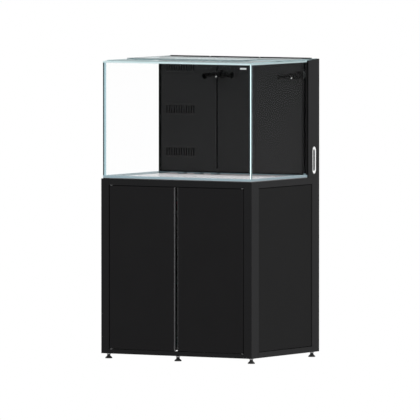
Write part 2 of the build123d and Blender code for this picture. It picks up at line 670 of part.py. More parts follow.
with BuildPart() as valve_knob:
    knob_start = PIPE_Y - VALVE_R - BONNET - KNOB_GAP
    with BuildSketch(Plane(origin=(DRAIN_X, knob_start, VALVE_Z), z_dir=(0, -1, 0))):
        Circle(KNOB_R)
        Circle(SHAFT_R + STEM_PLAY, mode=Mode.SUBTRACT)
        with PolarLocations(KNOB_R + FLUTE_OUT, FLUTES):
            Circle(FLUTE_R, mode=Mode.SUBTRACT)
    extrude(amount=KNOB)
save(valve_knob, "valve_knob")

# ---------------------------------------------------------------- sump
SUMP_X = (-392.0, 308.0)
SUMP_YS = (-230.0, 190.0)
SUMP_TOP = 424.0
PANE = 8.0
SUMP_Z = (BASE_TOP + PANE, SUMP_TOP)
with BuildPart() as sump_panes:
    block(SUMP_X, SUMP_YS, (BASE_TOP, BASE_TOP + PANE - SEAM))
    for pane_y in ((SUMP_YS[0], SUMP_YS[0] + PANE), (SUMP_YS[1] - PANE, SUMP_YS[1])):
        block(SUMP_X, pane_y, SUMP_Z)
    inner_y = (SUMP_YS[0] + PANE + SEAM, SUMP_YS[1] - PANE - SEAM)
    for pane_x in ((SUMP_X[0], SUMP_X[0] + PANE), (SUMP_X[1] - PANE, SUMP_X[1])):
        block(pane_x, inner_y, SUMP_Z)
save(sump_panes, "sump_panes")

FILTER_WALL_X = -176.0
BAFFLES = ((FILTER_WALL_X, 0, 300), (90.0, 0, 240), (112.0, 30, 290), (134.0, 0, 240))
with BuildPart() as sump_baffles:
    for x, lift, height in BAFFLES:
        block((x, x + PANE), inner_y, (SUMP_Z[0] + lift, SUMP_Z[0] + height))
save(sump_baffles, "sump_baffles")

CUP_X = (DRAIN_X, SPARE_DRAIN_X)
CUP_R = 46.0
CUP_WALL = 2.5
CUP_LOW = 150.0
CUP_TOP = 374.0
CUP_RIM = 3.0
CUP_PLATE = 8.0
CUP_PLAY = 0.3
with BuildPart() as cup_plate:
    block((SUMP_X[0] + PANE, FILTER_WALL_X), inner_y, (CUP_TOP - CUP_PLATE, CUP_TOP))
    for x in CUP_X:
        rod((x, SUMP_Y, CUP_TOP - CUP_PLATE), CUP_R + CUP_PLAY, CUP_PLATE, mode=Mode.SUBTRACT)
save(cup_plate, "cup_plate")

with BuildPart() as filter_cups:
    for x in CUP_X:
        rod((x, SUMP_Y, CUP_LOW), CUP_R, CUP_TOP - CUP_LOW)
        rod((x, SUMP_Y, CUP_TOP), CUP_R + CUP_RIM, CUP_RIM)
        inside = CUP_R - CUP_WALL
        rod((x, SUMP_Y, CUP_LOW + CUP_WALL), inside, CUP_TOP - CUP_LOW + CUP_RIM, mode=Mode.SUBTRACT)
save(filter_cups, "filter_cups")

PUMP_R = 42.0
PUMP_BASE = 8.0
PUMP_BODY_R = 36.0
PUMP_BODY = 74.0
PUMP_DOME_R = 10.0
PUMP_NECK_Z = 60.0
PUMP_NECK_R = PIPE_R + 4
INLET_R = 14.0
INLET_L = 66.0
INLET_Z = 46.0
with BuildPart() as return_pump:
    rod((*PUMP, SUMP_Z[0]), PUMP_R, PUMP_BASE)
    rod((*PUMP, SUMP_Z[0] + PUMP_BASE), PUMP_BODY_R, PUMP_BODY)
    fillet(return_pump.faces().sort_by(Axis.Z)[-1].edges(), PUMP_DOME_R)
    rod((*PUMP, SUMP_Z[0] + PUMP_NECK_Z), PUMP_NECK_R, PUMP_TOP - SUMP_Z[0] - PUMP_NECK_Z)
    rod((PUMP[0] - INLET_L, PUMP[1], SUMP_Z[0] + INLET_Z), INLET_R, INLET_L, axis=(1, 0, 0))
save(return_pump, "return_pump")
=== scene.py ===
"""Looks for the aquarium on its cabinet stand, in metres, in the CAD model's frame."""
import math

import bmesh
import bpy
from mathutils import Matrix, Vector


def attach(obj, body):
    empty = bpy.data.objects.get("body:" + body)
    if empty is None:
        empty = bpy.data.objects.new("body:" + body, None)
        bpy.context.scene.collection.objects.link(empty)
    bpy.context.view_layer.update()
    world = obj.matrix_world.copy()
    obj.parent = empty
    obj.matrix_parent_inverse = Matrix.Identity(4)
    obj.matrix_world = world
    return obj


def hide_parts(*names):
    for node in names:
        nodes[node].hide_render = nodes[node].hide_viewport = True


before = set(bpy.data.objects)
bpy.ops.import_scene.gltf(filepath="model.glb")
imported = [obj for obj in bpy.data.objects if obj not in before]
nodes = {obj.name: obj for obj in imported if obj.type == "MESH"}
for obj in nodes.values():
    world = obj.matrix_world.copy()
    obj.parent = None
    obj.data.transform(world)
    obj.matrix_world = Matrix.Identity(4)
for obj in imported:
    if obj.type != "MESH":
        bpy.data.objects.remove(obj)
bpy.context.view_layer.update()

# ---------------------------------------------------------------- camera, world and floor
CAMERA_PLACE = (23.540, -40.127, 3.098)
CAMERA_AZIMUTH = 30.4
CAMERA_DIP = 2.87
CAMERA_LENS = 770.4
SENSOR = 36.0
FLOOR_SIZE = 900.0
WHITE = (1.0, 1.0, 1.0, 1.0)
FILL_LEVEL = 0.42  # what the room sends to rough surfaces, against the white that the camera sees
MIRROR_LEVEL = 0.8  # what a glossy surface reflects of it
FLOOR_SHARE = 0.6  # the floor fills less than the room does
CLEAR_BOUNCES = 48  # a ray crosses many panes before it reaches the back


def make_camera():
    camera = bpy.data.objects.new("camera", bpy.data.cameras.new("camera"))
    camera.data.lens = CAMERA_LENS
    camera.data.sensor_width = SENSOR
    camera.data.clip_start = 1.0
    camera.data.clip_end = 2000.0
    camera.location = CAMERA_PLACE
    camera.rotation_euler = (math.radians(90 - CAMERA_DIP), 0, math.radians(CAMERA_AZIMUTH))
    bpy.context.scene.collection.objects.link(camera)
    bpy.context.scene.camera = camera


def level_switch(tree, fill):
    """Full white for what is seen, straight on or through glass, and less for reflections and fill."""
    path = tree.nodes.new("ShaderNodeLightPath")
    seen = tree.nodes.new("ShaderNodeMath")
    seen.operation = "MAXIMUM"
    tree.links.new(path.outputs["Is Camera Ray"], seen.inputs[0])
    tree.links.new(path.outputs["Is Transmission Ray"], seen.inputs[1])
    level = fill
    for test, high in ((path.outputs["Is Glossy Ray"], MIRROR_LEVEL), (seen.outputs[0], 1.0)):
        step = tree.nodes.new("ShaderNodeMix")
        if isinstance(level, float):
            step.inputs["A"].default_value = level
        else:
            tree.links.new(level, step.inputs["A"])
        step.inputs["B"].default_value = high
        tree.links.new(test, step.inputs["Factor"])
        level = step.outputs["Result"]
    return level


def make_world():
    world = bpy.data.worlds.new("studio")
    world.use_nodes = True
    tree = world.node_tree
    background = tree.nodes["Background"]
    background.inputs["Color"].default_value = WHITE
    tree.links.new(level_switch(tree, FILL_LEVEL), background.inputs["Strength"])
    bpy.context.scene.world = world


def make_floor():
    mesh = bpy.data.meshes.new("floor")
    half = FLOOR_SIZE / 2
    corners = [(-half, -half, 0), (half, -half, 0), (half, half, 0), (-half, half, 0)]
    mesh.from_pydata(corners, [], [(0, 1, 2, 3)])
    floor = bpy.data.objects.new("floor", mesh)
    bpy.context.scene.collection.objects.link(floor)
    material = bpy.data.materials.new("floor_white")
    material.use_nodes = True
    tree = material.node_tree
    tree.nodes.clear()
    glow = tree.nodes.new("ShaderNodeEmission")
    glow.inputs["Color"].default_value = WHITE
    tree.links.new(level_switch(tree, FILL_LEVEL * FLOOR_SHARE), glow.inputs["Strength"])
    output = tree.nodes.new("ShaderNodeOutputMaterial")
    tree.links.new(glow.outputs[0], output.inputs["Surface"])
    mesh.materials.append(material)


def make_light(name, place, target, size, power):
    lamp = bpy.data.lights.new(name, "AREA")
    lamp.shape = "RECTANGLE"
    lamp.size, lamp.size_y = size
    lamp.energy = power
    thing = bpy.data.objects.new(name, lamp)
    thing.location = place
    thing.rotation_euler = (Vector(target) - Vector(place)).to_track_quat("-Z", "Y").to_euler()
    thing.visible_glossy = False  # the room's white is what shines in the glass
    bpy.context.scene.collection.objects.link(thing)


make_camera()
make_world()
make_floor()
make_light("side_key", (5.5, -1.2, 2.2), (0, 0, 0.9), (2.5, 3.0), 260)
make_light("front_fill", (-1.5, -6.0, 3.0), (0, 0, 0.8), (3.0, 3.0), 90)
make_light("top_fill", (0.0, -0.6, 4.5), (0, 0, 1.2), (3.0, 3.0), 90)
bpy.context.scene.view_settings.view_transform = "Standard"
bpy.context.scene.cycles.transparent_max_bounces = CLEAR_BOUNCES


# ---------------------------------------------------------------- materials
GRAIN_DEPTH = 0.0002
PANE_ROUGHNESS = 0.02
SLANT_POWER = 5.0
EDGE_DRIFT = 0.86  # the darkest patch of a polished edge, against its palest


def shader(name, **values):
    """A principled material; values name its sockets, with spaces as underscores."""
    material = bpy.data.materials.new(name)
    material.use_nodes = True
    principled = material.node_tree.nodes["Principled BSDF"]
    for key, value in values.items():
        principled.inputs[key.replace("_", " ")].default_value = value
    return material, material.node_tree, principled


def noise(tree, scale, detail=3.0, roughness=0.5):
    place = tree.nodes.new("ShaderNodeTexCoord")
    grain = tree.nodes.new("ShaderNodeTexNoise")
    grain.inputs["Scale"].default_value = scale
    grain.inputs["Detail"].default_value = detail
    grain.inputs["Roughness"].default_value = roughness
    tree.links.new(place.outputs["Object"], grain.inputs["Vector"])
    return grain.outputs["Fac"]


def ranged(tree, value, low, high):
    span = tree.nodes.new("ShaderNodeMapRange")
    span.inputs["To Min"].default_value = low
    span.inputs["To Max"].default_value = high
    tree.links.new(value, span.inputs["Value"])
    return span.outputs["Result"]


def shaded(tree, value, dark, light):
    ramp = tree.nodes.new("ShaderNodeMix")
    ramp.data_type = "RGBA"
    ramp.inputs["A"].default_value = (*dark, 1)
    ramp.inputs["B"].default_value = (*light, 1)
    tree.links.new(value, ramp.inputs["Factor"])
    return ramp.outputs["Result"]


def bumped(tree, principled, value, strength, distance):
    bump = tree.nodes.new("ShaderNodeBump")
    bump.inputs["Strength"].default_value = strength
    bump.inputs["Distance"].default_value = distance
    tree.links.new(value, bump.inputs["Height"])
    tree.links.new(bump.outputs["Normal"], principled.inputs["Normal"])


def finish(name, dark, light, rough, grain, bump, metallic=0.0, specular=0.5, patch=6.0):
    """A finish with slow colour drift, grain in its roughness, and a fine bump."""
    material, tree, principled = shader(name, Metallic=metallic, Specular_IOR_Level=specular)
    drift = noise(tree, patch, 4.0)
    fine = noise(tree, grain, 2.0)
    tree.links.new(shaded(tree, drift, dark, light), principled.inputs["Base Color"])
    tree.links.new(ranged(tree, fine, *rough), principled.inputs["Roughness"])
    bumped(tree, principled, fine, bump, GRAIN_DEPTH)
    return material


def clear_pane(name, tint, head_on, grazing):
    """Clear sheet with a faint tint, and a reflection that grows at a slant."""
    material = bpy.data.materials.new(name)
    material.use_nodes = True
    tree = material.node_tree
    tree.nodes.clear()
    through = tree.nodes.new("ShaderNodeBsdfTransparent")
    through.inputs["Color"].default_value = (*tint, 1)
    mirror = tree.nodes.new("ShaderNodeBsdfGlossy")
    mirror.inputs["Color"].default_value = WHITE
    mirror.inputs["Roughness"].default_value = PANE_ROUGHNESS
    slant = tree.nodes.new("ShaderNodeLayerWeight")
    slant.inputs["Blend"].default_value = 0.5
    power = tree.nodes.new("ShaderNodeMath")
    power.operation = "POWER"
    power.inputs[1].default_value = SLANT_POWER
    tree.links.new(slant.outputs["Facing"], power.inputs[0])
    mix = tree.nodes.new("ShaderNodeMixShader")
    tree.links.new(ranged(tree, power.outputs[0], head_on, grazing), mix.inputs["Fac"])
    tree.links.new(through.outputs[0], mix.inputs[1])
    tree.links.new(mirror.outputs[0], mix.inputs[2])
    output = tree.nodes.new("ShaderNodeOutputMaterial")
    tree.links.new(mix.outputs[0], output.inputs["Surface"])
    return material


def edge_glow(name, colour, glow, rough=0.25):
    """Polished glass edge: pale, and glowing with painted light that stands in for light gathered inside the
    pane.
    """
    material, tree, principled = shader(name, Roughness=rough, Specular_IOR_Level=0.5)
    drift = noise(tree, 14.0, 2.0)
    darker = tuple(EDGE_DRIFT * c for c in colour)
    tree.links.new(shaded(tree, drift, darker, colour), principled.inputs["Base Color"])
    principled.inputs["Emission Color"].default_value = (*colour, 1)
    principled.inputs["Emission Strength"].default_value = glow
    return material


COAT = finish(
    "powder_coat", (0.0105, 0.0105, 0.0112), (0.0135, 0.0135, 0.0142),
    (0.46, 0.58), 900, 0.25, specular=0.10,
)
DOOR = finish(
    "door_laminate", (0.0112, 0.0109, 0.0115), (0.0136, 0.0133, 0.0139),
    (0.55, 0.66), 650, 0.12, specular=0.08,
)
# Darker copy of the door laminate for the side and rear panels: painted shade that offsets the side lamp,
# which lights them more than the doors.
SHADED_LAMINATE = finish(
    "laminate_painted_shade", (0.0066, 0.0066, 0.0068), (0.0083, 0.0083, 0.0085),
    (0.55, 0.66), 650, 0.12, specular=0.08,
)
BOARD = finish("melamine_board", (0.018, 0.018, 0.018), (0.026, 0.026, 0.025), (0.5, 0.65), 420, 0.2)
STEEL = finish("zinc_steel", (0.42, 0.42, 0.43), (0.58, 0.58, 0.58), (0.25, 0.42), 500, 0.1, metallic=1.0)
TRIM = finish(
    "anodised_trim", (0.20, 0.20, 0.205), (0.26, 0.26, 0.265),
    (0.35, 0.45), 1200, 0.1, metallic=0.4,
)
FOOT = finish("foot_plastic", (0.012, 0.012, 0.012), (0.02, 0.02, 0.02), (0.3, 0.45), 700, 0.15)
# Pale foam of the levelling mat; it also glows (set below), which is painted light.
GLOWING_FOAM = finish("mat_foam", (0.60, 0.575, 0.58), (0.66, 0.635, 0.64), (0.8, 0.95), 350, 0.5, specular=0.2)
CHAMBER = finish(
    "black_acrylic", (0.0135, 0.0135, 0.0138), (0.0160, 0.0160, 0.0163),
    (0.3, 0.4), 300, 0.06, specular=0.09,
)
MOULDED = finish(
    "moulded_black", (0.0012, 0.0012, 0.0012), (0.0025, 0.0025, 0.0025),
    (0.3, 0.4), 600, 0.15, specular=0.07,
)
BEZEL = finish("bezel_white", (0.78, 0.79, 0.79), (0.84, 0.84, 0.84), (0.3, 0.4), 500, 0.1)
WINDOW = finish(
    "window_dark", (0.010, 0.012, 0.013), (0.016, 0.018, 0.019),
    (0.2, 0.3), 60, 0.02, specular=0.12,
)
PALE = finish("pale_plate", (0.74, 0.74, 0.74), (0.80, 0.80, 0.80), (0.35, 0.45), 500, 0.05)
PIPE = finish("grey_pipe", (0.11, 0.115, 0.12), (0.15, 0.155, 0.16), (0.4, 0.5), 320, 0.12)
KNOB = finish("red_knob", (0.36, 0.02, 0.02), (0.46, 0.03, 0.03), (0.3, 0.42), 500, 0.15)
PUMP = finish("pump_plastic", (0.014, 0.014, 0.015), (0.022, 0.022, 0.024), (0.45, 0.6), 520, 0.3)
# The foam glows though it is no lamp: painted light that brightens the mat seen through the tank floor, and
# its copy on the floor pane's underside.
foam_glow_sockets = GLOWING_FOAM.node_tree.nodes["Principled BSDF"].inputs
foam_glow_sockets["Emission Color"].default_value = (0.92, 0.86, 0.87, 1)
foam_glow_sockets["Emission Strength"].default_value = 0.2
GLASS = clear_pane("tank_glass", (0.9995, 1.0, 1.0), 0.001, 0.14)
LID_CLEAR = clear_pane("lid_clear", (0.93, 0.965, 0.97), 0.01, 0.5)
CHAMBER_LID = clear_pane("chamber_lid_clear", (0.97, 0.985, 0.99), 0.005, 0.05)
FLOOR_GLASS = clear_pane("floor_glass", (0.985, 0.99, 0.99), 0.01, 0.32)
SUMP_GLASS = clear_pane("sump_glass", (0.95, 0.98, 0.98), 0.0, 0.12)
# Glass edges, painted light: all but the darkest glow though they are no lamps, and they are lit and shaded
# copies of one edge colour, brighter or darker by the face and tank end they go on; the darkest, on the
# front pane's ends, is painted shade.
LIT_EDGE_GLOW = edge_glow("polished_edge_painted_glow", (0.72, 0.93, 0.95), 1.2)
EDGE_SHADED = edge_glow("shaded_edge", (0.30, 0.43, 0.47), 0.75)
EDGE_PAINTED_DARK = edge_glow("dark_edge_painted_shade", (0.006, 0.014, 0.015), 0.0)
RIM_EDGE = edge_glow("rim_edge", (0.56, 0.69, 0.705), 0.35)
RIM_SIDE = edge_glow("rim_side", (0.31, 0.40, 0.41), 0.2)
BASE_EDGE = edge_glow("base_edge", (0.33, 0.45, 0.50), 0.2)
BASE_SIDE = edge_glow("base_side", (0.20, 0.27, 0.30), 0.15)
LID_EDGE = edge_glow("lid_edge", (0.20, 0.26, 0.27), 0.05)
# The mat's sides: a dark copy of the pale foam, painted shade.
MAT_SIDE_SHADE = finish("mat_side_painted_shade", (0.09, 0.095, 0.10), (0.12, 0.125, 0.13), (0.8, 0.95), 350, 0.4, specular=0.1)
SUMP_EDGE = edge_glow("sump_edge", (0.35, 0.6, 0.62), 0.1)

NODE_FINISH = {
    COAT: "corner_posts top_rails bottom_rails cross_beams column_covers rear_cover back_rail",
    # side and rear panels take the darker laminate copy, painted shade
    SHADED_LAMINATE: "side_panels rear_panel",
    DOOR: "left_door right_door",
    BOARD: "cabinet_floor top_deck",
    STEEL: "hinge_pins foot_inserts",
    TRIM: "left_door_edge right_door_edge",
    FOOT: "foot_front_left foot_front_centre foot_front_right "
    "foot_rear_left foot_rear_centre foot_rear_right",
    GLOWING_FOAM: "levelling_mat",
    CHAMBER: "weir_sill overflow_panel service_panel weir_combs chamber_divider cup_plate filter_cups",
    MOULDED: "magnet_catches wall_fittings return_hub_left return_hub_right "
    "outlet_left_a outlet_left_b outlet_right",
    BEZEL: "level_bezel",
    WINDOW: "level_lens",
    PALE: "blank_badge",
    PIPE: "return_pipe drain_pipes drain_valve bulkheads",
    PUMP: "return_pump",
    KNOB: "valve_knob",
    GLASS: "front_glass side_glass rear_glass rim_braces",
    FLOOR_GLASS: "bottom_glass",
    LID_CLEAR: "lid_runners front_lid front_lid_handle rear_lid",
    CHAMBER_LID: "chamber_lid",
    SUMP_GLASS: "sump_panes sump_baffles",
}
NO_BEVEL = set("bottom_glass front_glass side_glass rear_glass rim_braces sump_panes sump_baffles".split())
WELD_REACH = 0.00002
BEVEL_WIDTH = 0.0008
BEVEL_ANGLE = 50
MAT_CLEAR = 0.0003  # the mat stays clear of the glass, so that touching faces don't shade each other
SQUARE_ON = 0.7  # how far a face's normal lies along an axis
BROAD_FACE = 0.01  # square metres; above this a face isn't an edge


def dress(name, material):
    """A CAD node's material, and softened edges."""
    node = nodes[name]
    node.data.materials.clear()
    node.data.materials.append(material)
    if name in NO_BEVEL:
        return
    weld = node.modifiers.new("weld", "WELD")
    weld.merge_threshold = WELD_REACH
    bevel = node.modifiers.new("bevel", "BEVEL")
    bevel.width = BEVEL_WIDTH
    bevel.segments = 2
    bevel.limit_method = "ANGLE"
    bevel.angle_limit = math.radians(BEVEL_ANGLE)
    bevel.use_clamp_overlap = True
    if name == "levelling_mat":
        shrink = node.modifiers.new("shrink", "DISPLACE")
        shrink.strength = -MAT_CLEAR
        shrink.mid_level = 0.0


def polish_edges(name, edge, axes, side=0):
    """Gives the edge material to a pane's faces along the named axes, at one end of the tank or both."""
    node = nodes[name]
    node.data.materials.append(edge)
    slot = len(node.data.materials) - 1
    for polygon in node.data.polygons:
        facing = any(abs(polygon.normal["XYZ".index(axis)]) > SQUARE_ON for axis in axes)
        sump_floor = edge is SUMP_EDGE and polygon.area > BROAD_FACE
        tank_floor_top = edge is GLOWING_FOAM and polygon.normal.z > 0
        if facing and polygon.center.x * side >= 0 and not sump_floor and not tank_floor_top:
            polygon.material_index = slot


for material, names in NODE_FINISH.items():
    for name in names.split():
        dress(name, material)
# Painted light on pane ends and sides: each face gets a lit or shaded copy of the glowing edge colour,
# picked by the way it faces and, for the side panes, by the tank end it is at.
for name, edge, axes, side in (
    ("front_glass", RIM_EDGE, "Z", 0),
    ("front_glass", EDGE_PAINTED_DARK, "X", 0),
    ("rear_glass", EDGE_SHADED, "XZ", 0),
    ("side_glass", RIM_EDGE, "Z", 0),
    ("side_glass", LIT_EDGE_GLOW, "Y", 1),
    ("side_glass", EDGE_SHADED, "Y", -1),
    ("bottom_glass", BASE_EDGE, "Y", 0),
    ("bottom_glass", BASE_SIDE, "X", 0),
    ("rim_braces", RIM_EDGE, "Y", 0),
    ("rim_braces", RIM_SIDE, "X", 0),
    ("front_lid", RIM_SIDE, "XY", 0),
    ("rear_lid", LID_EDGE, "XY", 0),
    ("chamber_lid", LID_EDGE, "X", 0),
    # the floor pane's underside shows the glowing foam, painted light
    ("bottom_glass", GLOWING_FOAM, "Z", 0),
    # the mat's sides take the dark foam copy, painted shade
    ("levelling_mat", MAT_SIDE_SHADE, "XY", 0),
    ("sump_panes", SUMP_EDGE, "Z", 0),
    ("sump_baffles", SUMP_EDGE, "Z", 0),
):
    polish_edges(name, edge, axes, side)

# ---------------------------------------------------------------- pieces that the CAD model leaves out
MM = 0.001
SEGMENTS = 40
SHARP_ANGLE = 32
SEAL_HOLLOW = 0.3


def at_axis(origin, axis):
    """A placing whose Z runs along axis from origin, in millimetres."""
    turn = Vector((0, 0, 1)).rotation_difference(Vector(axis)).to_matrix().to_4x4()
    return Matrix.Translation(origin) @ turn


def lathe(bm, profile, origin, axis=(0, 0, 1), segments=SEGMENTS, start=0.0):
    """Turns a profile of (radius, height) points about axis."""
    place = at_axis(origin, axis)
    rings = []
    for radius, height in profile:
        count = segments if radius > 0 else 1
        turns = [start + 2 * math.pi * k / segments for k in range(count)]
        spots = [Vector((radius * math.cos(a), radius * math.sin(a), height)) for a in turns]
        rings.append([bm.verts.new(place @ spot) for spot in spots])
    for low, high in zip(rings, rings[1:]):
        for k in range(segments):
            after = (k + 1) % segments
            lower = [low[k % len(low)], low[after % len(low)]]
            upper = [high[after % len(high)], high[k % len(high)]]
            corners = list(dict.fromkeys(lower + upper))
            if len(corners) > 2:
                bm.faces.new(corners)


def rod(bm, origin, axis, radius, length, soft=0.5, segments=SEGMENTS):
    """A solid cylinder with softened rims."""
    side = [(radius - soft, 0), (radius, soft), (radius, length - soft), (radius - soft, length)]
    lathe(bm, [(0, 0), *side, (0, length)], origin, axis, segments)


def sleeve(bm, origin, axis, inner, outer, length, soft=0.6, segments=SEGMENTS):
    """A ring of square section with softened outer rims."""
    rim = [(outer - soft, 0), (outer, soft), (outer, length - soft), (outer - soft, length)]
    lathe(bm, [(inner, 0), *rim, (inner, length), (inner, 0)], origin, axis, segments)


def bar(bm, low, high):
    """A box between two corners."""
    middle = (Vector(low) + Vector(high)) / 2
    span = Vector(high) - Vector(low)
    bmesh.ops.create_cube(bm, size=1, matrix=Matrix.Translation(middle) @ Matrix.Diagonal((*span, 1)))


def rib(bm, place, spans):
    """A box of the given spans, about the middle of a placing."""
    bmesh.ops.create_cube(bm, size=1, matrix=place @ Matrix.Diagonal((*spans, 1)))


def bridge(bm, loops):
    """Joins each closed loop of points to the next."""
    for low, high in zip(loops, loops[1:]):
        for k in range(len(low)):
            after = (k + 1) % len(low)
            bm.faces.new([low[k], low[after], high[after], high[k]])


def wedge(bm, start, end, leg_a, leg_b):
    """A bead of sealant in an inside corner that runs from start to end, with a hollow face."""
    start, end, leg_a, leg_b = (Vector(v) for v in (start, end, leg_a, leg_b))
    section = [Vector((0, 0, 0)), leg_a, SEAL_HOLLOW * (leg_a + leg_b), leg_b]
    rings = [[bm.verts.new(spot + s) for s in section] for spot in (start, end)]
    for k in range(4):
        bm.faces.new([rings[0][k], rings[0][(k + 1) % 4], rings[1][(k + 1) % 4], rings[1][k]])
    bm.faces.new(rings[0])
    bm.faces.new(rings[1][::-1])


def piece(name, bm, material, body, soft=0.0):
    """Makes an object in metres from a bmesh in millimetres, and has it ride on a body."""
    bmesh.ops.scale(bm, vec=(MM, MM, MM), verts=bm.verts)
    bmesh.ops.recalc_face_normals(bm, faces=bm.faces)
    mesh = bpy.data.meshes.new(name)
    bm.to_mesh(mesh)
    bm.free()
    mesh.shade_smooth()
    mesh.set_sharp_from_angle(angle=math.radians(SHARP_ANGLE))
    mesh.materials.append(material)
    thing = bpy.data.objects.new(name, mesh)
    bpy.context.scene.collection.objects.link(thing)
    if soft:
        bevel = thing.modifiers.new("bevel", "BEVEL")
        bevel.width = soft * MM
        bevel.segments = 2
    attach(thing, body)
    return thing


# Sealant in the tank's inside corners: clear between panes, and black where black sheets meet the glass. The
# black piece also holds a strip outside each side pane in front of the column: painted shade for the step
# where the column stands proud of the glass.
IN_X, IN_Y, FLOOR, RIM = 431.0, 331.0, 949.0, 1533.0
PANE = 12.0
WEIR = 208.0
COLUMN_FRONT = 236.0
CLEAR_LEG, BLACK_LEG = 4.0, 7.0
AIR = 0.05  # between a film and the CAD face beside it
OUTER_X = IN_X + PANE + AIR
JOINT = 0.4  # film of adhesive between panes; its faces carry glowing edge colours, painted light for the panes' ground ends
BRACE = 8.0
COLUMN_SHADE_STRIP = 2.45  # how far the painted-shade strip beside the column stands off the side pane
BACKING = 0.4
SEAL_CLEAR = clear_pane("clear_sealant", (0.975, 0.985, 0.99), 0.005, 0.3)
SEAL_BLACK = finish(
    "black_sealant", (0.001, 0.001, 0.001), (0.002, 0.002, 0.002),
    (0.45, 0.6), 300, 0.2, specular=0.03,
)
bm = bmesh.new()
for side in (-1, 1):
    inward = (-side * CLEAR_LEG, 0, 0)
    x = side * IN_X
    wedge(bm, (x, -IN_Y, FLOOR), (x, -IN_Y, RIM), inward, (0, CLEAR_LEG, 0))
    wedge(bm, (x, -IN_Y, RIM), (x, WEIR, RIM), inward, (0, 0, -CLEAR_LEG))
    wedge(bm, (x, -IN_Y, FLOOR), (x, WEIR, FLOOR), inward, (0, 0, CLEAR_LEG))
wedge(bm, (-IN_X, -IN_Y, RIM), (IN_X, -IN_Y, RIM), (0, CLEAR_LEG, 0), (0, 0, -CLEAR_LEG))
wedge(bm, (-IN_X, -IN_Y, FLOOR), (IN_X, -IN_Y, FLOOR), (0, CLEAR_LEG, 0), (0, 0, CLEAR_LEG))
piece("sealant_clear", bm, SEAL_CLEAR, "root")
# Joint films with painted light: the left one takes the shaded glowing edge copy, the right one the lit
# copy.
for side, name, material in ((-1, "left", EDGE_SHADED), (1, "right", LIT_EDGE_GLOW)):
    bm = bmesh.new()
    bar(bm, (side * IN_X, -IN_Y - JOINT, FLOOR), (side * (IN_X + PANE), -IN_Y - AIR, RIM))
    piece(f"front_joint_{name}", bm, material, "root")
# Rim joint film in the glowing rim colour: painted highlight.
bm = bmesh.new()
for y in (-1, 1):
    bar(bm, (-IN_X - PANE, y * IN_Y, RIM + AIR), (IN_X + PANE, y * (IN_Y + PANE), RIM + JOINT))
for side in (-1, 1):
    bar(bm, (side * IN_X, -IN_Y, RIM + AIR), (side * (IN_X + PANE), IN_Y, RIM + JOINT))
piece("rim_joint", bm, RIM_EDGE, "root")
bm = bmesh.new()
for side, wide in ((-1, 12.0), (1, 4.0)):  # the left bead is the wide one
    wedge(bm, (side * IN_X, WEIR, FLOOR), (side * IN_X, WEIR, RIM), (-side * wide, 0, 0), (0, -CLEAR_LEG, 0))
    inward = (-side * BLACK_LEG, 0, 0)
    wedge(bm, (side * IN_X, IN_Y, FLOOR), (side * IN_X, IN_Y, RIM), inward, (0, -BLACK_LEG, 0))
    # Black strip in front of the column: painted shade, not sealant.
    shade_strip_corner = (side * (OUTER_X + COLUMN_SHADE_STRIP), COLUMN_FRONT - 2 * AIR, RIM + BRACE)
    bar(bm, (side * OUTER_X, COLUMN_FRONT - 4, FLOOR), shade_strip_corner)
wedge(bm, (-IN_X, WEIR + 1, FLOOR), (IN_X, WEIR + 1, FLOOR), (0, -BLACK_LEG, 0), (0, 0, BLACK_LEG))
piece("sealant_black_and_shade_strip", bm, SEAL_BLACK, "root")
# Black backing on the side panes, which hides the chamber between the wall and the column.
bm = bmesh.new()
for side in (-1, 1):
    bar(bm, (side * OUTER_X, 222.0, FLOOR), (side * (OUTER_X + BACKING), COLUMN_FRONT - 4.5, RIM))
# the backing uses the darker laminate copy, painted shade
piece("side_backing", bm, SHADED_LAMINATE, "root")

# Soft black strip along the back rail, in three lengths.
bm = bmesh.new()
for low_x, high_x in ((-443, -208), (-200, 92), (100, 405)):
    bar(bm, (low_x, 340.0, 1547.6), (high_x, 349.6, 1552.2))
piece("back_rail_strip", bm, SEAL_BLACK, "root", 0.8)

# Level window: a rounded white frame round the dark slit.
WINDOW_Y, WINDOW_Z = 299.0, 1023.0
FRAME_PROFILE = (  # share of the way in, and X
    (0, 443.4), (0, 448.2), (0.16, 449.2), (0.34, 449.4), (0.62, 449.2), (0.86, 448.6), (1, 447.1)
)
FRAME_OUT, FRAME_IN = (35.6, 140.6), (18.0, 112.0)


def stadium(width, height, count=20):
    """Points round an upright slot, about the window's centre."""
    radius = width / 2
    reach = height / 2 - radius
    turns = [math.pi * k / count for k in range(count + 1)]
    upper = [(radius * math.cos(a), reach + radius * math.sin(a)) for a in turns]
    return upper + [(-y, -z) for y, z in upper]


bm = bmesh.new()
loops = []
for share, x in FRAME_PROFILE:
    spot = [o + share * (i - o) for o, i in zip(FRAME_OUT, FRAME_IN)]
    loops.append([bm.verts.new((x, WINDOW_Y + y, WINDOW_Z + z)) for y, z in stadium(*spot)])
bridge(bm, loops)
frame_piece = piece("level_frame", bm, BEZEL, "root")
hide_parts("level_bezel")

# Set screws that lock the return hubs.
OUTLET_Z = 1465.0
HUBS = {"hub_left": -50.0, "hub_right": 402.0}
SCREW_WAY = Vector((-0.58, -0.1, -0.8)).normalized()
SCREW = finish("bright_screw", (0.72, 0.72, 0.72), (0.86, 0.86, 0.86), (0.2, 0.3), 800, 0.05)
for body, x in HUBS.items():
    bm = bmesh.new()
    base = Vector((x, 162, OUTLET_Z)) + 12 * SCREW_WAY
    rod(bm, base, SCREW_WAY, 2.2, 7.0, 0.4, 20)
    rod(bm, base + 6.0 * SCREW_WAY, SCREW_WAY, 3.0, 2.6, 0.7, 24)
    piece(f"{body}_screw", bm, SCREW, body)

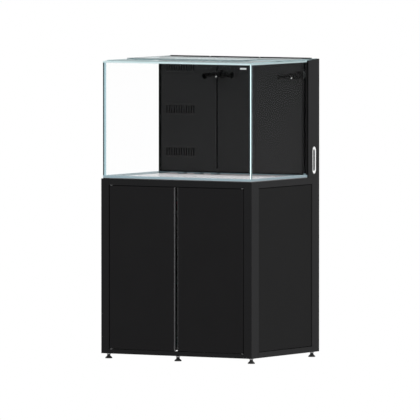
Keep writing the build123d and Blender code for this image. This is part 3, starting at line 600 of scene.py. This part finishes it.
# Catch plates on the doors, each with its two screws.
CATCH_X, CATCH_Z, CATCH_FACE = 60, 891, -330.9
for side, body in ((-1, "left_door"), (1, "right_door")):
    bm = bmesh.new()
    middle = side * CATCH_X
    bar(bm, (middle - 20, -332.0, CATCH_Z - 5.5), (middle + 20, CATCH_FACE, CATCH_Z + 5.5))
    for step in (-14, 14):
        rod(bm, (middle + step, CATCH_FACE, CATCH_Z), (0, 1, 0), 2.4, 0.3, 0.1, 20)
    piece(f"{body}_catch_plate", bm, STEEL, body, 0.3)

# Lock nuts under the frame, one on each foot.
NUT_R, NUT_BORE, NUT_H, NUT_Z = 11.0, 6.2, 4.2, 21.3
for name, x, y in (
    ("foot_front_left", -427, -312.5),
    ("foot_front_centre", 0, -330),
    ("foot_front_right", 427, -312.5),
    ("foot_rear_left", -427, 312.5),
    ("foot_rear_centre", 0, 330),
    ("foot_rear_right", 427, 312.5),
):
    bm = bmesh.new()
    flank = [(NUT_R - 1, 0), (NUT_R, 0.6), (NUT_R, NUT_H - 0.6), (NUT_R - 1, NUT_H)]
    nut = [(NUT_BORE, 0), *flank, (NUT_BORE, NUT_H), (NUT_BORE, 0)]
    lathe(bm, nut, (x, y, NUT_Z), segments=6, start=0.3)
    piece(f"{name}_nut", bm, STEEL, name)

# Filter cups with slotted walls.
CUPS_X, CUP_Y = (-330.0, -230.0), 20.0
CUP_R, CUP_LOW, CUP_TOP = 46.0, 150.0, 377.0
CUP_IN = CUP_R - 2.5
CUP_BARS, CUP_BANDS = 30, 6
BAR_SPANS = (2.4, 4.2, CUP_TOP - CUP_LOW - 14)
bm = bmesh.new()
for x in CUPS_X:
    base = [(0, 0), (CUP_R, 0), (CUP_R, 6), (CUP_IN, 6), (CUP_IN, 2.5), (0, 2.5)]
    lathe(bm, base, (x, CUP_Y, CUP_LOW))
    band = [(CUP_IN, 0), (CUP_R, 0), (CUP_R, 5), (CUP_IN, 5), (CUP_IN, 0)]
    for k in range(CUP_BANDS):
        lathe(bm, band, (x, CUP_Y, CUP_LOW + 34 + 30 * k))
    lip = [(CUP_R, 0), (CUP_R, 10), (CUP_R + 3, 10), (CUP_R + 3, 13)]
    lathe(bm, [(CUP_IN, 0), *lip, (CUP_IN, 13), (CUP_IN, 0)], (x, CUP_Y, CUP_TOP - 13))
    for k in range(CUP_BARS):
        turn = Matrix.Rotation(2 * math.pi * k / CUP_BARS, 4, "Z")
        place = Matrix.Translation((x, CUP_Y, (CUP_LOW + CUP_TOP) / 2 - 4)) @ turn
        rib(bm, place @ Matrix.Translation((CUP_R - 1.25, 0, 0)), BAR_SPANS)
cups = piece("filter_cups_slotted", bm, CHAMBER, "root")
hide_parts("filter_cups")

# Couplings where the pipes turn, hexagon nuts under the tank, and unions.
PIPE_R, BEND, PIPE_Y = 16.0, 34.0, 275.0
COUPLING = 18  # length of a coupling, and 4 past the pipe all round
ROUTES = (
    ((-330, PIPE_Y, 929), (-330, PIPE_Y, 620), (-330, 20, 620), (-330, 20, 330)),
    ((-230, PIPE_Y, 929), (-230, PIPE_Y, 540), (-230, 20, 540), (-230, 20, 330)),
    ((230, -20, 196), (230, -20, 700), (230, PIPE_Y, 700), (-130, PIPE_Y, 700), (-130, PIPE_Y, 929)),
    ((-130, PIPE_Y, 955), (-130, PIPE_Y, OUTLET_Z), (402, PIPE_Y, OUTLET_Z), (402, 222, OUTLET_Z)),
)
bm = bmesh.new()
for route in ROUTES:
    spots = [Vector(spot) for spot in route]
    for before, corner, after in zip(spots, spots[1:], spots[2:]):
        for end in (before, after):
            along = (end - corner).normalized()
            if (end - corner).length > BEND + COUPLING + 4:
                sleeve(bm, corner + (BEND - 8) * along, along, PIPE_R - 1, PIPE_R + 4, COUPLING)
tank_nut = [(PIPE_R, 0), (34, 0), (35, 1), (35, 11), (34, 12), (PIPE_R, 12), (PIPE_R, 0)]
for x in (-330, -230, -130):
    lathe(bm, tank_nut, (x, PIPE_Y, 911), segments=6)
for x, y, z in ((230, -20, 420), (-230, PIPE_Y, 700), (-230, 20, 470)):
    sleeve(bm, (x, y, z), (0, 0, 1), PIPE_R - 1, PIPE_R + 8, 26, 1.5, 12)
    sleeve(bm, (x, y, z - 14), (0, 0, 1), PIPE_R - 1, PIPE_R + 4, 54)
for x in HUBS.values():
    sleeve(bm, (x, 236, OUTLET_Z), (0, 1, 0), 13, PIPE_R + 4, 22)
piece("pipe_couplings", bm, PIPE, "root")
VALVE_Z = 770
bm = bmesh.new()
for step in (-1, 1):
    sleeve(bm, (-330, PIPE_Y, VALVE_Z + 29 * step - 9), (0, 0, 1), PIPE_R, 27, COUPLING, 1.5, 12)
piece("valve_unions", bm, PIPE, "root")

# Pump: cooling ribs and a slotted strainer on the inlet.
PUMP_X, PUMP_Y, PUMP_Z = 230.0, -20.0, 82.0
INLET = Vector((PUMP_X, PUMP_Y, PUMP_Z + 46))
PUMP_RIBS, STRAINER_RINGS, STRAINER_BARS = 28, 6, 8
bm = bmesh.new()
for k in range(PUMP_RIBS):
    turn = Matrix.Rotation(2 * math.pi * k / PUMP_RIBS, 4, "Z")
    place = Matrix.Translation((PUMP_X, PUMP_Y, PUMP_Z + 40)) @ turn
    rib(bm, place @ Matrix.Translation((36.6, 0, 0)), (3.0, 2.4, 58))
for k in range(STRAINER_RINGS):
    sleeve(bm, INLET + Vector((5 * k - 64, 0, 0)), (1, 0, 0), 13, 16, 2.6, 0.4)
for k in range(STRAINER_BARS):
    turn = Matrix.Rotation(2 * math.pi * k / STRAINER_BARS, 4, "X")
    place = Matrix.Translation(INLET + Vector((-51, 0, 0))) @ turn
    rib(bm, place @ Matrix.Translation((0, 0, 15)), (28, 2.4, 2.4))
piece("pump_ribs", bm, PUMP, "root", 0.4)

# Grommet round the cable port.
PORT_W, PORT_H, PORT_R, PORT_Z = 130.0, 60.0, 20.0, 780.0
GROMMET = (  # how far out from the port's edge, and Y
    (-2.0, 333.0), (8.0, 333.0), (8.0, 335.4), (0.0, 335.6), (0.0, 348.2),
    (7.5, 348.4), (8.0, 349.4), (-1.2, 349.6), (-2.0, 348.8), (-2.0, 333.0),
)


def rounded(half_w, half_h, radius, count=8):
    """Points round a rectangle with rounded corners."""
    spots = []
    for quarter, (sx, sz) in enumerate(((1, 1), (-1, 1), (-1, -1), (1, -1))):
        for k in range(count + 1):
            turn = math.pi / 2 * (quarter + k / count)
            x = sx * (half_w - radius) + radius * math.cos(turn)
            spots.append((x, sz * (half_h - radius) + radius * math.sin(turn)))
    return spots


bm = bmesh.new()
loops = []
for out, y in GROMMET:
    ring = rounded(PORT_W + out, PORT_H + out, PORT_R + out)
    loops.append([bm.verts.new((x, y, PORT_Z + z)) for x, z in ring])
bridge(bm, loops)
piece("cable_grommet", bm, FOOT, "root")
